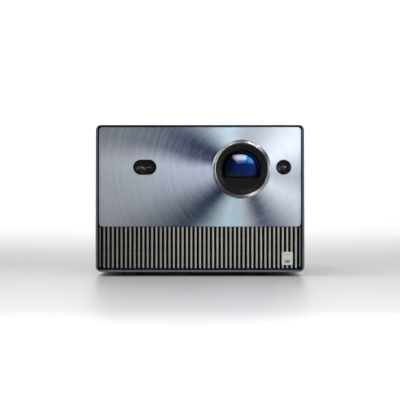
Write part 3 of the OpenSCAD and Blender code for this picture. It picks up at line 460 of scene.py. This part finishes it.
def finish_node(name, o):
    o.data.materials.clear()
    o.data.materials.append(M["carrier_black" if name == "front_carrier" else slot_of[name]])
    for p in o.data.polygons:
        p.use_smooth = True
        p.material_index = 0
    w = o.modifiers.new("weld", "WELD")
    w.merge_threshold = 2e-6
    if not EDGE.get(name):
        e = o.modifiers.new("hard_edges", "EDGE_SPLIT")
        e.split_angle = math.radians(30)
        return
    if name in ("housing_sleeve", "front_panel", "tilt_foot"):
        d = o.modifiers.new("flat_faces", "DECIMATE")
        d.decimate_type = "DISSOLVE"
        d.angle_limit = math.radians(0.5)
    width = EDGE.get(name, 0.0)
    if width:
        b = o.modifiers.new("soft_edges", "BEVEL")
        b.width = width * MM
        b.segments = 3 if width >= 0.4 else 2
        b.limit_method = "ANGLE"
        b.angle_limit = math.radians(38)
        b.use_clamp_overlap = True
        b.miter_outer = "MITER_ARC"
        b.harden_normals = False
    n = o.modifiers.new("normals", "WEIGHTED_NORMAL")
    n.keep_sharp = True
    n.weight = 80


for name, o in nodes.items():
    finish_node(name, o)

# ------------------------------------------------------------------ lens front, in mesh code


def lathe(name, profile, slot, x=LX, z=LZ, seg=192, closed=True):
    """Revolves (radius, y) points, in mm from the front plane, round an axis along Y."""
    bm = bmesh.new()
    rings = []
    for r, y in profile:
        if r < 1e-6:
            rings.append([bm.verts.new((x, YF + y * MM, z))])
        else:
            rings.append([bm.verts.new((x + r * MM * math.cos(2 * math.pi * i / seg), YF + y * MM,
                                        z + r * MM * math.sin(2 * math.pi * i / seg))) for i in range(seg)])
    pairs = list(zip(rings, rings[1:]))
    if closed and len(rings[0]) > 1:
        pairs.append((rings[-1], rings[0]))
    for a, b in pairs:
        for i in range(seg):
            j = (i + 1) % seg
            if len(a) == 1 and len(b) == 1:
                continue
            if len(a) == 1:
                bm.faces.new((a[0], b[i], b[j]))
            elif len(b) == 1:
                bm.faces.new((a[i], b[0], a[j]))
            else:
                bm.faces.new((a[i], b[i], b[j], a[j]))
    bmesh.ops.recalc_face_normals(bm, faces=bm.faces)
    me = bpy.data.meshes.new(name)
    bm.to_mesh(me)
    bm.free()
    o = bpy.data.objects.new(name, me)
    scene.collection.objects.link(o)
    me.materials.append(M[slot])
    me.shade_smooth()
    me.set_sharp_from_angle(angle=math.radians(28))
    return o


R = RING_R / MM  # outer radius of the trim ring, mm

# black cone in front of the glass, cut into fine baffle steps
steps = 13
prof = [(R - 4.45, 1.0), (R - 5.1, 0.9)]
r0, y0, r1, y1 = R - 5.4, 1.5, 25.1, 9.6
for i in range(steps):
    t0, t1 = i / steps, (i + 1) / steps
    ra, rb = r0 + (r1 - r0) * t0, r0 + (r1 - r0) * t1
    ya, yb = y0 + (y1 - y0) * t0 ** 0.9, y0 + (y1 - y0) * t1 ** 0.9
    prof += [(ra, ya), (ra - 0.05, yb - 0.02), (ra - 0.11, yb + 0.01), (rb + 0.05, yb - 0.04)]
prof += [(r1, y1), (25.1, 10.7), (R - 4.45, 10.7)]
bezel = lathe("lens_baffle_cone", prof, "black_satin")
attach(bezel, "housing")
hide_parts("lens_bezel")


def sag(rs, a, n, y, s):
    return [(a * i / n, y + s * (rs - math.sqrt(rs * rs - (a * i / n) ** 2))) for i in range(n + 1)]


film = optic("front_glass_film", (0.88, 0.93, 1.0), 0.0, ior=1.15)
glass = lathe("front_glass", sag(74, 23.3, 40, 13.4, 1) + [(24.0, 17.6), (24.0, 24.0)]
              + sag(110, 22, 30, 21.6, 1)[::-1], "lens_glass", seg=160, closed=False)
glass.data.materials[0] = film
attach(glass, "lens_carriage")
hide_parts("front_lens_element")

inner = lathe("inner_glass_painted_reflections", sag(100, 22.6, 40, 24.6, 1) + [(22.6, 29.9), (23.9, 30.2), (23.9, 36.4)]
              + sag(86, 22, 24, 39.6, -1)[::-1], "lens_glass", seg=160, closed=False)
inner.data.materials[0] = inner_element_painted_reflections()
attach(inner, "lens_carriage")
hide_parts("middle_lens_element")

# blackened retaining ring between the elements
rings = [(23.9, 24.2), (23.9, 29.6), (23.1, 29.7), (23.0, 28.4), (23.3, 27.2), (23.2, 26.0), (23.5, 25.0), (23.5, 24.2)]
keep = lathe("lens_retaining_ring", rings, "anodised_dark", seg=128)
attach(keep, "lens_carriage")

# polished rim, with the CAD ring's own outline turned smooth
rim = [(R, 3.0), (R, 1.55)]
rim += [(R - 1.3 + 1.3 * math.cos(math.radians(a)), 1.5 - 1.3 * math.sin(math.radians(a))) for a in range(0, 88, 8)]
rim += [(R - 1.7, 0.34), (R - 1.9, 0.62), (R - 2.15, 0.62), (R - 2.35, 0.22), (R - 2.7, 0.06), (R - 3.2, 0.05)]
rim += [(R - 3.4 - 0.8 * math.sin(math.radians(a)), 0.88 - 0.8 * math.cos(math.radians(a))) for a in range(10, 80, 10)]
rim += [(R - 4.2, 2.0), (R - 4.2, 11.7), (R - 2.15, 11.7), (R - 2.15, 3.0)]
ring = lathe("polished_lens_rim", rim, "trim_metal")
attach(ring, "housing")
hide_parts("lens_trim_ring")

# ------------------------------------------------------------------ stage, light and camera

bm = bmesh.new()
prof = [(-3.0, 0.0)] + [(1.0 + 0.9 * math.sin(a * math.pi / 40), 0.9 - 0.9 * math.cos(a * math.pi / 40)) for a in range(21)] + [(1.9, 4.0)]
last = None
for y, z in prof:
    row = [bm.verts.new((x, y, z)) for x in (-4.0, 4.0)]
    if last:
        bm.faces.new((last[0], last[1], row[1], row[0]))
    last = row
me = bpy.data.meshes.new("studio_floor")
bm.to_mesh(me)
bm.free()
floor = bpy.data.objects.new("studio_floor", me)
floor.location.z = -0.0002
scene.collection.objects.link(floor)
me.shade_smooth()
fm = Mat("floor_paper_painted_shade")
g = fm.noise(60, 3)
fx, fy, fz = fm.xyz()
# painted shade: the floor's colour is darkened around and behind the object and lightens towards the front and up the
# backdrop
ramp = fm.n("ShaderNodeValToRGB")
ramp.color_ramp.interpolation = "LINEAR"
el = ramp.color_ramp.elements
for i, (at, v) in enumerate(((-0.76, 0.88), (-0.56, 0.57), (-0.28, 0.51), (-0.09, 0.45), (0.14, 0.35), (0.46, 0.36), (0.76, 0.43),
                             (1.0, 0.47), (1.09, 0.53), (1.19, 0.63), (1.28, 0.67), (1.60, 0.90))):
    e = el[i] if i < 2 else el.new((at + 1) / 3)
    e.position = (at + 1) / 3
    e.color = (v, v, v, 1)
fm.link(fm.rng(fy, -1.0, 2.0, 0, 1), ramp.inputs[0])
fm.link(fm.mix(0.04, ramp.outputs[0], g, "OVERLAY"), fm.p.inputs["Base Color"])
fm.set(Roughness=0.40)
me.materials.append(fm.m)


def area(name, loc, target, size, power, color=(1, 1, 1)):
    d = bpy.data.lights.new(name, "AREA")
    d.shape = "RECTANGLE"
    d.size, d.size_y = size
    d.energy = power
    d.color = color
    o = bpy.data.objects.new(name, d)
    o.location = loc
    o.rotation_euler = (Vector(target) - Vector(loc)).to_track_quat("-Z", "Y").to_euler()
    scene.collection.objects.link(o)
    return o


area("top_box", (-0.40, -0.30, 1.5), (0, 0, 0), (1.1, 0.9), 13)
area("right_box", (1.15, -1.05, 0.45), (0, -0.1, 0.1), (0.6, 0.9), 12, (1, 0.985, 0.96))
area("left_strip", (-1.25, -0.75, 0.40), (0, -0.1, 0.1), (0.25, 0.9), 6, (0.88, 0.94, 1))
area("lens_key", (0.06, -1.33, 0.58), (0.05, -0.117, 0.127), (0.40, 0.27), 3.0, (1.0, 0.96, 0.97))
area("lens_side", (0.43, -1.24, 0.50), (0.05, -0.117, 0.127), (0.24, 0.30), 0.6, (0.90, 0.96, 1.0))
area("front_spot", (0.035, -1.46, 0.070), (0.05, -0.117, 0.127), (0.018, 0.018), 0.06)
area("back_wash", (0.0, 0.9, 1.6), (0, 2.2, 0.8), (2.6, 0.8), 34)

world = bpy.data.worlds.new("studio")
scene.world = world
world.use_nodes = True
world.node_tree.nodes["Background"].inputs[0].default_value = (0.93, 0.96, 1.0, 1)
world.node_tree.nodes["Background"].inputs[1].default_value = 0.26

cam_d = bpy.data.cameras.new("camera")
cam = bpy.data.objects.new("camera", cam_d)
scene.collection.objects.link(cam)
cam_d.sensor_width = 36
cam_d.lens = 36 * 1.5 / 0.47508
cam.location = (0, YF - 1.5, 0.0905)
cam.rotation_euler = (math.pi / 2, 0, 0)
scene.camera = cam
scene.view_settings.view_transform = "Standard"
